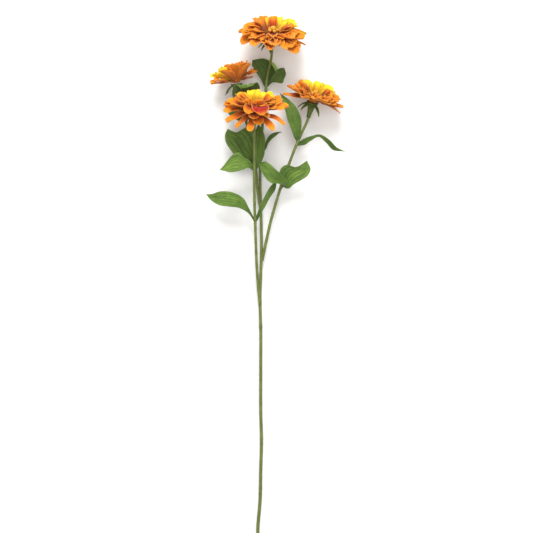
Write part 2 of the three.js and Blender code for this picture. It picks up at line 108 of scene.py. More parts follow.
# %% Camera
CAMERA_HEIGHT = 2.5
VIEW_WIDTH = 0.77285  # metres of floor across the picture
VIEW_CENTRE = (-0.013675, 0.017975)


def make_camera():
    data = bpy.data.cameras.new("camera")
    data.lens = data.sensor_width * CAMERA_HEIGHT / VIEW_WIDTH
    camera = add_object("camera", data)
    camera.location = (*VIEW_CENTRE, CAMERA_HEIGHT)
    bpy.context.scene.camera = camera
    return camera


camera = make_camera()
print("lens", round(camera.data.lens, 1), "mm")

# %% [markdown]
# ## Light
# Soft daylight from a studio window: one large panel beyond the blooms, which throws their
# shadows gently towards the cut end, a wide one overhead to open the shadows, and a bright
# surround. The view transform is the plain one, so a colour that is set here is the colour seen.

# %% Light and surround
PANELS = {
    # name: (location, width, energy)
    "window": ((-0.08, 1.25, 1.35), 0.9, 26.0),
    "overhead": ((0.2, 0.1, 2.2), 1.6, 18.0),
}
PANEL_AIM = Vector((0.0, 0.2, 0.0))
SURROUND = (1.0, 1.0, 1.0)
SURROUND_STRENGTH = 0.62


def make_panel(name, location, width, energy):
    light = bpy.data.lights.new(name, "AREA")
    light.shape = "DISK"
    light.size = width
    light.energy = energy
    panel = add_object(name, light)
    panel.location = location
    aim = PANEL_AIM - Vector(location)
    panel.rotation_euler = aim.to_track_quat("-Z", "Y").to_euler()


for name, (location, width, energy) in PANELS.items():
    make_panel(name, location, width, energy)

world = bpy.data.worlds.new("surround")
world.use_nodes = True
background = world.node_tree.nodes["Background"]
background.inputs["Color"].default_value = (*SURROUND, 1.0)
background.inputs["Strength"].default_value = SURROUND_STRENGTH
bpy.context.scene.world = world
bpy.context.scene.view_settings.view_transform = "Standard"
print(len(PANELS), "light panels")

# %% [markdown]
# ## Building materials from nodes
# Cloth petals, pressed leaves and a moulded stem share a few effects: an uneven dye, threads,
# and lines that run along a blade. Each effect is one node group, and each finish places it
# with its own values. These helpers keep the wiring short enough to read.

# %% Node helpers
def hex_colour(code):
    """A colour as it is written on a swatch card, as the linear values that shaders use."""
    parts = [int(code[i : i + 2], 16) / 255 for i in (1, 3, 5)]
    linear = [c / 12.92 if c <= 0.04045 else ((c + 0.055) / 1.055) ** 2.4 for c in parts]
    return (*linear, 1.0)


class Wiring:
    """Adds nodes to a node tree, and links or sets their inputs by name."""

    def __init__(self, tree):
        self.tree = tree

    def node(self, kind, inputs=None, **settings):
        made = self.tree.nodes.new(kind)
        for key, value in settings.items():
            setattr(made, key, value)
        for key, value in (inputs or {}).items():
            self.feed(made.inputs[key], value)
        return made

    def feed(self, socket, value):
        if isinstance(value, bpy.types.NodeSocket):
            self.tree.links.new(value, socket)
        else:
            socket.default_value = value

    def math(self, operation, *values):
        made = self.node("ShaderNodeMath", operation=operation)
        for socket, value in zip(made.inputs, values):
            self.feed(socket, value)
        return made.outputs[0]

    def times(self, a, b):
        return self.math("MULTIPLY", a, b)

    def remap(self, value, low, high, to_low=0.0, to_high=1.0):
        made = self.node(
            "ShaderNodeMapRange",
            {"Value": value, "From Min": low, "From Max": high, "To Min": to_low, "To Max": to_high},
            interpolation_type="SMOOTHSTEP",
        )
        return made.outputs["Result"]

    def blend(self, share, a, b, kind="MIX"):
        made = self.node("ShaderNodeMix", data_type="RGBA", blend_type=kind)
        self.feed(made.inputs[0], share)
        self.feed(made.inputs[6], a)
        self.feed(made.inputs[7], b)
        return made.outputs[2]

    def weigh(self, *weighed):
        """The sum of values, each given with its weight."""
        parts = [self.times(value, weight) for value, weight in weighed]
        total = parts[0]
        for part in parts[1:]:
            total = self.math("ADD", total, part)
        return total

    def group(self, tree, **inputs):
        made = self.node("ShaderNodeGroup", node_tree=tree)
        for key, value in inputs.items():
            self.feed(made.inputs[key], value)
        return made.outputs


def new_group(name, inputs, outputs):
    """An empty node group with number inputs and outputs, and its wiring."""
    tree = bpy.data.node_groups.new(name, "ShaderNodeTree")
    for key, kind in inputs.items():
        tree.interface.new_socket(key, in_out="INPUT", socket_type=kind)
    for key, kind in outputs.items():
        tree.interface.new_socket(key, in_out="OUTPUT", socket_type=kind)
    wiring = Wiring(tree)
    source = wiring.node("NodeGroupInput").outputs
    sink = wiring.node("NodeGroupOutput").inputs
    return tree, wiring, source, sink


def new_material(name, values):
    """A material with one Principled shader that has these values, its wiring and that shader."""
    material = bpy.data.materials.new(name)
    material.use_nodes = True
    shader = material.node_tree.nodes["Principled BSDF"]
    for key, value in values.items():
        shader.inputs[key].default_value = value
    return material, Wiring(material.node_tree), shader


def press(w, shader, height, strength, distance):
    """Feeds a height to a shader as bump."""
    bump = w.node("ShaderNodeBump", {"Height": height, "Strength": strength, "Distance": distance})
    w.feed(shader.inputs["Normal"], bump.outputs["Normal"])


def paint(w, shader, colour, uneven, smoothest, roughest):
    """Feeds a colour, and a roughness that follows an uneven value from 0 to 1."""
    w.feed(shader.inputs["Base Color"], colour)
    w.feed(shader.inputs["Roughness"], w.remap(uneven, 0.0, 1.0, smoothest, roughest))


NUMBER, VECTOR = "NodeSocketFloat", "NodeSocketVector"

# %% [markdown]
# ### Uneven dye
# Cloth takes dye in clouds. A noise with finer detail in it gives a value from 0 to 1, and a
# finish uses it to lean its colour one way or the other.

# %% Uneven dye
def make_dye_group():
    tree, w, source, sink = new_group(
        "uneven dye", {"Vector": VECTOR, "Scale": NUMBER}, {"Cloud": NUMBER}
    )
    noise = {"Vector": source["Vector"], "Scale": source["Scale"], "Detail": 4.0, "Roughness": 0.65}
    clouds = w.node("ShaderNodeTexNoise", noise)
    w.feed(sink["Cloud"], w.remap(clouds.outputs["Fac"], 0.3, 0.7))
    return tree


DYE = make_dye_group()

# %% [markdown]
# ### Threads
# Seen close, the petals and leaves are woven. Two crossed waves make the threads, and noise
# breaks them up so that they never look printed. It is only fed to bump.

# %% Threads
def make_thread_group():
    tree, w, source, sink = new_group(
        "threads", {"Vector": VECTOR, "Scale": NUMBER}, {"Height": NUMBER}
    )
    at = {"Vector": source["Vector"], "Scale": source["Scale"]}
    waves = []
    for direction in ("X", "Y"):
        wave = w.node("ShaderNodeTexWave", {**at, "Distortion": 1.5}, bands_direction=direction)
        waves.append(wave.outputs["Fac"])
    fuzz = w.node("ShaderNodeTexNoise", at)
    woven = w.math("ADD", *waves)
    w.feed(sink["Height"], w.math("ADD", woven, fuzz.outputs["Fac"]))
    return tree


THREADS = make_thread_group()

# %% [markdown]
# ### Lines along a blade
# A petal's fine streaks and a leaf's parallel veins follow the blade, so they are read from its
# UV map, where U goes across and V along. Noise that is stretched along V gives streaks.

# %% Streaks along a blade
def make_streak_group():
    tree, w, source, sink = new_group(
        "streaks", {"Vector": VECTOR, "Across": NUMBER, "Along": NUMBER}, {"Streak": NUMBER}
    )
    stretch = w.node("ShaderNodeCombineXYZ", {"X": source["Across"], "Y": source["Along"]})
    scaled = w.node("ShaderNodeVectorMath", operation="MULTIPLY")
    w.feed(scaled.inputs[0], source["Vector"])
    w.feed(scaled.inputs[1], stretch.outputs[0])
    noise = {"Vector": scaled.outputs[0], "Scale": 1.0, "Detail": 3.0}
    grain = w.node("ShaderNodeTexNoise", noise)
    w.feed(sink["Streak"], w.remap(grain.outputs["Fac"], 0.3, 0.7))
    return tree


STREAKS = make_streak_group()
print("shared groups:", [tree.name for tree in (DYE, THREADS, STREAKS)])

# %% [markdown]
# ## Petal finish
# A petal is deep red-orange at its root, where painted shade for the crevices between petals
# darkens the dye further, warm orange over most of its blade, and paler along its rim. At the far
# side of each bloom the petals turn lemon yellow, which is painted light where they face the lamp.
# Three numbers ride on every point of a petal in an attribute called tint: how yellow it is, how
# deep in the bloom it grows plus twice how red it is, and its own random shade. Streaks and coarse
# folds run along it, the folds darkening it as painted shade, and its underside is a duller orange.

# %% Petal finish
# The root colours are the dye at a petal's root, darkened further as painted shade for the crevices
# between petals.
PETAL_ROOT = hex_colour("#7a2004")
PETAL_BODY = hex_colour("#d36a08")
PETAL_TIP = hex_colour("#ee8f14")
PETAL_RIM = hex_colour("#ffae33")
YELLOW_BODY = hex_colour("#e4ac0a")
YELLOW_TIP = hex_colour("#f5d828")
YELLOW_ROOT = hex_colour("#a3560a")
RED_THROAT = hex_colour("#ab1203")
UNDERSIDE = hex_colour("#d8760f")
DARKEST_SHADE = 0.49  # what the streaks, folds and clouds leave of the colour at least


def blade_coordinates(w):
    """The UV map of a blade, and its two shares: across it and along it."""
    uv = w.node("ShaderNodeUVMap", uv_map="UVMap").outputs["UV"]
    parts = w.node("ShaderNodeSeparateXYZ", {"Vector": uv}).outputs
    return uv, parts["X"], parts["Y"]


def object_coordinates(w):
    return w.node("ShaderNodeTexCoord").outputs["Object"]


def tint_numbers(w):
    """The three numbers that ride on every point, as Red, Green and Blue."""
    tint = w.node("ShaderNodeAttribute", attribute_name="tint").outputs["Color"]
    return w.node("ShaderNodeSeparateColor", {"Color": tint}).outputs


def distance_from_middle(w, across):
    """0 on the midline of a blade and 1 on its edges."""
    return w.math("ABSOLUTE", w.math("MULTIPLY_ADD", across, 2.0, -1.0))


PETAL_CLOTH = {
    "Sheen Weight": 0.12,
    "Sheen Roughness": 0.5,
    "Subsurface Weight": 0.1,
    "Subsurface Radius": (1.0, 0.42, 0.12),
    "Subsurface Scale": 0.003,
    "Specular IOR Level": 0.25,
}


def make_petal_material(name, underside):
    material, w, shader = new_material(name, PETAL_CLOTH)
    uv, across, along = blade_coordinates(w)
    tint = tint_numbers(w)
    yellow, depth, own = tint["Red"], tint["Green"], tint["Blue"]
    place_on_bloom = object_coordinates(w)
    streak = w.group(STREAKS, Vector=uv, Across=26.0, Along=2.2)["Streak"]
    folds = w.group(STREAKS, Vector=uv, Across=8.0, Along=1.2)["Streak"]
    cloud = w.group(DYE, Vector=place_on_bloom, Scale=70.0)["Cloud"]

    orange = w.blend(w.remap(along, 0.35, 0.85), PETAL_BODY, PETAL_TIP)
    # Painted light: the far petals, which face the lamp, are painted lemon yellow.
    lit_lemon = w.blend(w.remap(along, 0.2, 0.8), YELLOW_BODY, YELLOW_TIP)
    colour = w.blend(yellow, orange, lit_lemon)
    # Painted shade: the root colour reaches far along each petal, darkening the crevices between petals
    # on top of the dye.
    root_dye_and_shade = w.remap(w.weigh((along, 1.0), (streak, -0.2)), 0.0, 0.62, 1.0, 0.0)
    root_dye_and_shade = w.times(root_dye_and_shade, w.math("MULTIPLY_ADD", yellow, -0.4, 1.0))
    colour = w.blend(root_dye_and_shade, colour, w.blend(yellow, PETAL_ROOT, YELLOW_ROOT))
    throat = w.times(w.remap(depth, 0.75, 1.0), w.remap(along, 0.3, 0.95, 0.4, 0.0))
    throat = w.times(throat, w.math("SUBTRACT", 1.0, yellow))
    red = w.times(w.remap(depth, 1.0, 3.0), w.remap(along, 0.6, 0.95, 1.0, 0.25))
    colour = w.blend(w.math("MAXIMUM", throat, red), colour, RED_THROAT)
    rim = w.math("MAXIMUM", distance_from_middle(w, across), along)
    rim = w.times(w.remap(rim, 0.84, 1.0), 0.5)
    colour = w.blend(rim, colour, w.blend(yellow, PETAL_RIM, YELLOW_TIP))
    # Painted shade: the coarse folds darken the colour along their creases; own tone, clouds and
    # streaks are the cloth's.
    shade = w.weigh((own, 0.3), (cloud, 0.16), (streak, 0.18), (folds, 0.3))
    shade = w.math("ADD", shade, DARKEST_SHADE)
    grey = w.node("ShaderNodeCombineColor", {"Red": shade, "Green": shade, "Blue": shade})
    colour = w.blend(1.0, colour, grey.outputs[0], "MULTIPLY")
    if underside:
        dull = w.blend(yellow, UNDERSIDE, YELLOW_BODY)
        colour = w.blend(0.55, colour, dull)
    paint(w, shader, colour, streak, 0.62, 0.8)
    threads = w.group(THREADS, Vector=place_on_bloom, Scale=900.0)["Height"]
    press(w, shader, w.weigh((threads, 0.12), (streak, 1.0), (folds, 1.5)), 0.5, 0.0007)
    return material


petal_face = make_petal_material("petal face", underside=False)
petal_back = make_petal_material("petal underside", underside=True)

# %% [markdown]
# ## Leaf finish
# The leaves are mid green cloth with veins pressed into them, their grooves darkened with painted
# shade. They are darker towards the stem and carry a painted highlight along the rim. Underneath
# they are a dark dull olive, partly their own colour and partly painted shade. The tint attribute
# holds how much painted shade a leaf takes and which of its sides is rolled over, where a light
# band is painted on the roll as painted light.

# %% Leaf finish
LEAF_BODY = hex_colour("#58782a")
LEAF_LIGHT = hex_colour("#84a443")
LEAF_DARK = hex_colour("#2b4512")
LEAF_BASE = hex_colour("#3a5220")
LEAF_RIM_HIGHLIGHT = hex_colour("#86a04e")
LEAF_UNDERSIDE_AND_SHADE = hex_colour("#3f4f1f")
LEAF_PAINTED_SHADE = hex_colour("#2f4016")
# The veins are painted dark, as painted shade in their pressed grooves.
VEINS_ACROSS = 7  # dark lines from edge to edge, the middle one and the edges included
LEAF_CLOTH = {
    "Sheen Weight": 0.08,
    "Subsurface Weight": 0.1,
    "Subsurface Radius": (0.4, 1.0, 0.2),
    "Subsurface Scale": 0.002,
    "Specular IOR Level": 0.3,
}


def rib_mask(w, across, count):
    """1 on the ribs, which are evenly spread across a blade, and 0 between them."""
    turns = w.times(w.math("SUBTRACT", across, 0.5), float(count - 1))
    wave = w.math("COSINE", w.times(turns, 2 * math.pi))
    return w.remap(wave, 0.55, 1.0)


def make_leaf_material(name, underside):
    material, w, shader = new_material(name, LEAF_CLOTH)
    uv, across, along = blade_coordinates(w)
    streak = w.group(STREAKS, Vector=uv, Across=30.0, Along=3.0)["Streak"]
    place_on_leaf = object_coordinates(w)
    cloud = w.group(DYE, Vector=place_on_leaf, Scale=45.0)["Cloud"]
    ribs = rib_mask(w, across, VEINS_ACROSS)
    colour = w.blend(cloud, LEAF_BODY, LEAF_LIGHT)
    colour = w.blend(w.times(streak, 0.5), colour, LEAF_DARK)
    # Painted shade: the vein grooves are darkened.
    colour = w.blend(w.times(ribs, 0.5), colour, LEAF_DARK)
    colour = w.blend(w.remap(along, 0.0, 0.3, 0.75, 0.0), colour, LEAF_BASE)
    # Painted highlight: the rim is painted paler, as an edge that catches the light.
    edge = w.remap(distance_from_middle(w, across), 0.93, 0.99, 0.0, 0.5)
    colour = w.blend(edge, colour, LEAF_RIM_HIGHLIGHT)
    if underside:
        # The dark olive underside is partly its own colour and partly painted shade.
        colour = w.blend(0.75, colour, LEAF_UNDERSIDE_AND_SHADE)
    else:
        tint = tint_numbers(w)
        painted_shade, curl_side = tint["Red"], tint["Green"]
        # Painted shade: leaves that lie in shadow are darkened by their shade number.
        colour = w.blend(w.times(painted_shade, 0.7), colour, LEAF_PAINTED_SHADE)
        # Painted light: the rolled-over side shows a light band where its roll catches the light.
        towards = w.times(w.math("MULTIPLY_ADD", across, 2.0, -1.0), curl_side)
        rolled = w.times(w.remap(towards, -0.2, -0.08), w.math("ABSOLUTE", curl_side))
        colour = w.blend(rolled, colour, LEAF_LIGHT)
    paint(w, shader, colour, cloud, 0.5, 0.66)
    threads = w.group(THREADS, Vector=place_on_leaf, Scale=800.0)["Height"]
    rib_height = 1.2 if underside else -1.2
    press(w, shader, w.weigh((threads, 0.1), (streak, 0.8), (ribs, rib_height)), 0.55, 0.0008)
    return material


leaf_face = make_leaf_material("leaf face", underside=False)
leaf_back = make_leaf_material("leaf underside", underside=True)

# %% [markdown]
# ## Stem, calyx and disc finishes
# The stem is moulded over a wire: satin olive plastic with faint lengthwise drawing marks. The
# calyx is the same green, darker, which is painted shade from the petals over it. The knobs of the
# disc are golden on top and browner down their sides and in the dimple on top, which is painted shade.

# %% Stem, calyx and disc finishes
STEM_BODY = hex_colour("#606c2b")
STEM_LIGHT = hex_colour("#808c48")
STEM_DARK = hex_colour("#454f1b")
# The calyx greens are darker than the stem's, as painted shade from the petals over them.
CALYX_BODY = hex_colour("#4a5f26")
CALYX_LIGHT = hex_colour("#6c8238")
CALYX_DARK = hex_colour("#2a3b15")
# Gold on top, and brown down the sides and in the dimple: the brown is painted shade.
KNOB_TOP = hex_colour("#e3a022")
KNOB_SHADED_SIDE = hex_colour("#8d4f0e")


def make_green_material(name, colours, roughness, specular):
    """A green that goes from its dark to its light shade in clouds and lengthwise streaks."""
    dark, body, light = colours
    material, w, shader = new_material(name, {"Specular IOR Level": specular})
    uv = blade_coordinates(w)[0]
    streak = w.group(STREAKS, Vector=uv, Across=9.0, Along=40.0)["Streak"]
    cloud = w.group(DYE, Vector=object_coordinates(w), Scale=110.0)["Cloud"]
    colour = w.blend(w.times(cloud, 0.7), body, light)
    colour = w.blend(w.times(streak, 0.5), colour, dark)
    paint(w, shader, colour, cloud, roughness, roughness + 0.12)
    press(w, shader, streak, 0.2, 0.0004)
    return material


def make_knob_material():
    material, w, shader = new_material("disc knob", {"Roughness": 0.6})
    coordinates = object_coordinates(w)
    cloud = w.group(DYE, Vector=coordinates, Scale=260.0)["Cloud"]
    # Painted shade: low on a knob and in its dimple the gold turns brown.
    share = w.weigh((tint_numbers(w)["Red"], 0.8), (cloud, 0.2))
    w.feed(shader.inputs["Base Color"], w.blend(share, KNOB_SHADED_SIDE, KNOB_TOP))
    threads = w.group(THREADS, Vector=coordinates, Scale=900.0)["Height"]
    press(w, shader, threads, 0.3, 0.0003)
    return material


stem_skin = make_green_material("stem skin", (STEM_DARK, STEM_BODY, STEM_LIGHT), 0.42, 0.4)
calyx_painted_shade_skin = make_green_material("calyx skin", (CALYX_DARK, CALYX_BODY, CALYX_LIGHT), 0.6, 0.25)
knob_skin = make_knob_material()
print("finishes:", [material.name for material in bpy.data.materials])

# %% [markdown]
# ## From bmesh to a piece
# Every piece is finished the same way: its mesh becomes an object at the origin, gets its
# materials, rides on the body, takes its material slot and hides the node that it stands for.
# A blade is a bent grid, and a Solidify modifier gives it its thickness. Its second material
# goes on the side that the thickness adds, which is how the undersides get their own colour.

# %% Finish a piece
def object_from(bm, name, materials):
    mesh = bpy.data.meshes.new(name)
    bm.to_mesh(mesh)
    bm.free()
    for material in materials:
        mesh.materials.append(material)
    return add_object(name, mesh)


def finish_piece(bm, name, materials, node, thickness=0.0):
    piece = object_from(bm, name, materials)
    for polygon in piece.data.polygons:
        polygon.use_smooth = True
    if thickness:
        solidify = piece.modifiers.new("thickness", "SOLIDIFY")
        solidify.thickness = thickness
        solidify.offset = 0.0
        solidify.material_offset = len(materials) - 1
        solidify.material_offset_rim = 0
    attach(piece, BODY)
    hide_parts(node)
    return piece


def new_bmesh():
    """An empty bmesh that carries a UV map and the tint attribute."""
    bm = bmesh.new()
    bm.loops.layers.uv.new("UVMap")
    bm.verts.layers.float_color.new("tint")
    return bm


# %% [markdown]
# ## Bending a grid into a blade
# Petals, sepals and leaves are all one thing: a strip with a spine. `add_blade` makes a flat
# grid, then moves its points. The spine gives a place and two directions for each share of the
# length, and the form says how far each point lies sideways, above and beyond that place. A
# point that would sink into the floor is laid on it, as cloth would be.

# %% Bend a grid
FLOOR_TOUCH = 0.0004  # the lowest that the middle of a blade's thickness may lie


def add_blade(bm, columns, rows, spine, form, tint=(0, 0, 0, 1), crowding=1.4):
    """Crowding above 1 sets the rows closer together towards the tip."""
    layer = bm.verts.layers.float_color["tint"]
    made = bmesh.ops.create_grid(bm, x_segments=columns, y_segments=rows, size=1.0, calc_uvs=True)
    stations = {}
    for vert in made["verts"]:
        across, step = vert.co.x, (vert.co.y + 1) / 2
        row = round(step * rows)
        along = 1 - (1 - step) ** crowding
        if row not in stations:
            stations[row] = spine(along)
        middle, side, normal, tangent = stations[row]
        sideways, above, beyond = form(across, along)
        vert.co = middle + (side * sideways + normal * above + tangent * beyond) * MM
        vert.co.z = max(vert.co.z, FLOOR_TOUCH)
        vert[layer] = tint
    return made["verts"]


# %% [markdown]
# ## The blooms: where they stand
# A bloom stands on its base point, at the end of its stem. It leans to the right and tilts up
# off the floor. Elevations are the angles of each layer of petals above the bloom's own plane,
# at the root and at the tip, outermost first. `near` says how far each layer is lifted, and to
# what share it is shortened, towards an azimuth (270 faces up). `bare` gives the azimuths of
# a layer that have no petals, `sepals` those of the sepals, and `funnel` the calyx's length.
# `yellow` says round which azimuth the lemon yellow is painted, as painted light on the petals that
# face the lamp, how far each way, and how much of it each layer takes.

# %% Bloom table
BLOOMS = {
    "top": {
        "base": (21, 722, 49), "turn": 0, "funnel": 11, "lean": 4, "tilt": 28, "radius": 49,
        "counts": (11, 10, 8, 7, 4),
        "elevations": ((4, -20), (14, -8), (26, 4), (36, 10), (54, 30)),
        "near": (270, (8, 0.88), (-4, 0.95), (-12, 0.9), (-24, 0.8), (-36, 0.75)),
        "bare": ((0, 222, 250),),
        "sepals": (15, 70, 120, 170, 215, 262),
        "yellow": (58, 44, (1, 1, 1, 1, 0.3)),
    },
    "front": {
        "base": (-4, 615, 74), "turn": 9, "funnel": 16, "lean": 2, "tilt": 26, "radius": 45,
        "counts": (12, 10, 9, 7, 5),
        "elevations": ((14, 8), (16, 2), (26, 8), (40, 20), (60, 44)),
        "near": (270, (-30, 1), (24, 0.7), (34, 0.6), (26, 0.6), (8, 0.8)),
        "bare": ((0, 200, 340), (1, 215, 325), (2, 240, 300), (4, 262, 320)),
        "sepals": (15, 70, 120, 170, 215, 262, 310),
        "yellow": (86, 62, (0, 0.1, 0.7, 1, 1)),
    },
    "right": {
        "base": (79, 634, 38.9), "turn": 0, "funnel": 23, "lean": 16, "tilt": 22, "radius": 42,
        "counts": (12, 10, 8, 7, 4),
        "elevations": ((4, -2), (14, 8), (26, 18), (40, 30), (58, 48)),
        "near": (270, (16, 0.78), (8, 0.8), (-4, 0.75), (-14, 0.65), (-36, 0.6)),
        "bare": ((0, 200, 310),),
        "sepals": (70, 120, 170, 215, 262, 310),
        "yellow": (72, 64, (0.3, 1, 1, 1, 1)),
    },
    "left": {
        "base": (-31, 661.5, 34.6), "turn": 12, "funnel": 16, "lean": -8.6, "tilt": 5, "radius": 36.5,
        "counts": (9, 9, 7, 6, 4),
        "elevations": ((8, 0), (26, 16), (44, 34), (60, 50), (74, 62)),
        "near": (310, (50, 0.85), (38, 0.9), (22, 0.95), (8, 1), (0, 1)),
        "bare": (),
        "sepals": (10, 60, 110, 160, 208),
        "yellow": (166, 60, (0, 1, 1, 0.9, 0.3)),
    },
}

# %% [markdown]
# A few petals stray from their layer, and are set one by one: azimuth, elevation at the root
# and at the tip, shares of the bloom's radius for the length and for half the width, the layer
# whose root circle it grows on, and how yellow and how red it is. What is 0 at the end of a
# row is left out.

# %% Stray petals
STRAYS = {
    "top": (
        (318, -2, -16, 0.92, 0.14),
    ),
    "front": (
        (206, -6, -34, 0.9, 0.12, 0, 0, 0.1), (234, -12, -40, 0.82, 0.1, 0, 0, 0.1),
        (256, -24, -58, 0.68, 0.11, 0, 0, 0.25), (280, -12, -40, 0.56, 0.15),
        (312, -14, -42, 0.84, 0.13), (338, -6, -26, 0.9, 0.14), (262, 8, -20, 0.56, 0.16, 1),
        (300, 12, -14, 0.6, 0.16, 1, 0, 0.2), (283, 50, -50, 0.76, 0.22, 4, 0, 1),
        (252, 48, -38, 0.6, 0.18, 4, 0, 0.25),
    ),
    "right": (
        (350, -6, -12, 0.92, 0.15, 1),
    ),
    "left": (
        (340, 62, 56, 0.84, 0.15), (205, 34, 24, 0.9, 0.15, 0, 1), (221, 56, 48, 0.74, 0.15, 0, 1),
        (192, 14, 4, 0.94, 0.15),
    ),
}


def bloom_matrix(bloom):
    """The bloom's own frame, in millimetres: its axis is local Z and local Y points away from above."""
    lean, tilt = math.radians(bloom["lean"]), math.radians(bloom["tilt"])
    axis = Vector(
        (math.sin(lean) * math.cos(tilt), math.cos(lean) * math.cos(tilt), math.sin(tilt))
    )
    right = Vector((1, 0, 0))
    right = (right - axis * right.dot(axis)).normalized()
    back = axis.cross(right)
    turn = Matrix((right, back, axis)).transposed().to_4x4()
    return Matrix.Translation(bloom["base"]) @ turn


def arc_station(blade, share):
    """Middle, side, normal and tangent of a blade that grows along an arc from a bloom's axis."""
    start, end = (math.radians(angle) for angle in blade["elevations"])
    bend = end - start
    lift = start + bend * share
    reach = blade["length"] / bend
    radius = blade["root"][0] + reach * (math.sin(lift) - math.sin(start))
    height = blade["root"][1] - reach * (math.cos(lift) - math.cos(start))
    cos, sin = math.cos(math.radians(blade["azimuth"])), math.sin(math.radians(blade["azimuth"]))
    tangent = Vector((cos * math.cos(lift), sin * math.cos(lift), math.sin(lift)))
    turn = Matrix.Rotation(math.radians(blade["twist"] * share), 3, tangent)
    side = turn @ Vector((sin, -cos, 0))
    return Vector((cos * radius, sin * radius, height)), side, side.cross(tangent), tangent


def bloom_spine(matrix, blade):
    """The spine of an arc blade in the frame, with its middle in metres."""
    turn = matrix.to_3x3()

    def spine(share):
        middle, *directions = arc_station(blade, share)
        return (place(matrix @ middle), *(turn @ d for d in directions))

    return spine


# %% [markdown]
# ## Petals
# A zinnia's petal is a spoon: narrow at its root, widest two thirds along, and round, square
# or notched at its end. Its sides turn up, its rim ripples, and it has soft pleats. The petals
# grow in five layers, and between each two of the main ones grows a shorter filler, so that no
# gap shows down to the core. A whole bloom is one mesh of just over sixty such grids.

# %% Petal shape
PETAL_LENGTHS = (0.88, 0.84, 0.74, 0.62, 0.46)  # shares of the bloom's radius, outermost first
PETAL_HALF_WIDTHS = (0.168, 0.165, 0.158, 0.14, 0.12)
ROOT_RADII = (0.15, 0.15, 0.16, 0.17, 0.2)
ROOT_HEIGHTS = (0.0, 0.04, 0.08, 0.12, 0.15)
WIDEST = 0.66  # share of the length where a petal is widest
ROUND_END = 0.985  # a petal ends as wide as it is at this share of its length
PETAL_GRID = (12, 16)
PETAL_THICKNESS = 0.00045
PLEATS = 3.0
PETAL_ROOT_HALF = 0.22  # a petal's width at its root, as a share of its widest
PETAL_STRAY = {"azimuth": 4, "length": 0.06, "tip": 9, "twist": 22, "half": 0.1}
FULLNESS = 1.1  # how much wider the petals are than their plain share
STAGGER = 3.5  # degrees that neighbours in a layer are lifted and lowered
FILLER = {"length": 0.86, "half": 0.9, "lift": 5}
FILLED_LAYERS = (1, 2, 3)


def petal_shape(bloom, layer, seed, azimuth, lifts, length, half):
    """Everything that makes one petal its own: where it grows, its arc and its outline."""
    return {
        "seed": seed,
        "layer": layer,
        "azimuth": azimuth + swing(seed, 1, PETAL_STRAY["azimuth"]),
        "root": (ROOT_RADII[layer] * bloom["radius"], ROOT_HEIGHTS[layer] * bloom["radius"]),
        "length": bloom["radius"] * length * (1 + swing(seed, 2, PETAL_STRAY["length"])),
        "elevations": (lifts[0], lifts[1] + swing(seed, 3, PETAL_STRAY["tip"])),
        "twist": swing(seed, 4, PETAL_STRAY["twist"]),
        "half": bloom["radius"] * half * (1 + swing(seed, 5, PETAL_STRAY["half"])) * FULLNESS,
        "cup": 0.15 + 0.25 * vary(seed, 6) + 0.05 * layer,
        "point": 2.0 + 1.6 * vary(seed, 7),
        "blunt": mix(0.34, 0.52, vary(seed, 15)),
        "teeth": max(0.0, swing(seed, 8, 0.07)),
        "spoon": (swing(seed, 9, 0.3) + 0.1) * (1 - 0.15 * layer),
        "ripple": 0.04 + 0.09 * vary(seed, 10),
        "phase": 2 * math.pi * vary(seed, 11),
    }


def layer_petals(bloom, layer, filler=False):
    """The petals of one layer, or the fillers between them, without its bare azimuths."""
    count = bloom["counts"][layer]
    towards, (lift, share) = bloom["near"][0], bloom["near"][layer + 1]
    for number in range(count):
        step = number + 0.5 * (layer % 2) + (0.5 if filler else 0)
        azimuth = bloom["turn"] + step * 360 / count
        if any(at == layer and low < azimuth % 360 < high for at, low, high in bloom["bare"]):
            continue
        near = max(0.0, math.cos(math.radians(azimuth - towards)))
        stagger = FILLER["lift"] if filler else (STAGGER if number % 2 else -STAGGER)
        lifts = [angle + stagger + near * lift for angle in bloom["elevations"][layer]]
        length = PETAL_LENGTHS[layer] * (1 + near * (share - 1)) * (FILLER["length"] if filler else 1)
        half = PETAL_HALF_WIDTHS[layer] * (FILLER["half"] if filler else 1)
        seed = bloom["base"][1] + 31 * layer + number + (500 if filler else 0)
        yield petal_shape(bloom, layer, seed, azimuth, lifts, length, half)


# %% [markdown]
# The form of a petal is a sum of simple waves over its grid: the outline, the cup, the spoon at
# its end, the ripple of its rim, the pleats along it, and the teeth at its tip.

# %% Petal form
def petal_form(petal):
    """How far a point of the petal lies sideways, above and beyond its spine."""
    half, seed, phase = petal["half"], petal["seed"], petal["phase"]

    def form(across, along):
        past = max(0.0, min(along, ROUND_END) - WIDEST) / (1 - WIDEST)
        opening = math.sin(math.pi / 2 * min(1, along / WIDEST))
        end = (1 - past ** petal["point"]) ** petal["blunt"]
        width = half * mix(PETAL_ROOT_HALF, 1, opening) * end
        width *= 1 + 0.05 * math.sin(9 * along + phase) * along
        rise = petal["cup"] * width * across**2
        rise += half * petal["spoon"] * smooth(0.55, 1.0, along) * (0.3 + 0.7 * across**2)
        rise += half * petal["ripple"] * math.sin(8 * along + phase + 2.5 * across) * across**2 * 2
        rise += 0.06 * half * math.cos(PLEATS * math.pi * across + phase) * smooth(0.05, 0.4, along)
        teeth = 0.5 - 0.5 * math.cos(2.2 * math.pi * across + phase)
        beyond = -petal["teeth"] * petal["length"] * teeth * smooth(0.8, 1.0, along)
        return width * across, rise, beyond

    return form


SECTOR_EDGE = 6  # degrees each way over which a yellow sector fades
FEWEST_YELLOW = 0.2  # the share of petals that are yellow even where the sector has faded


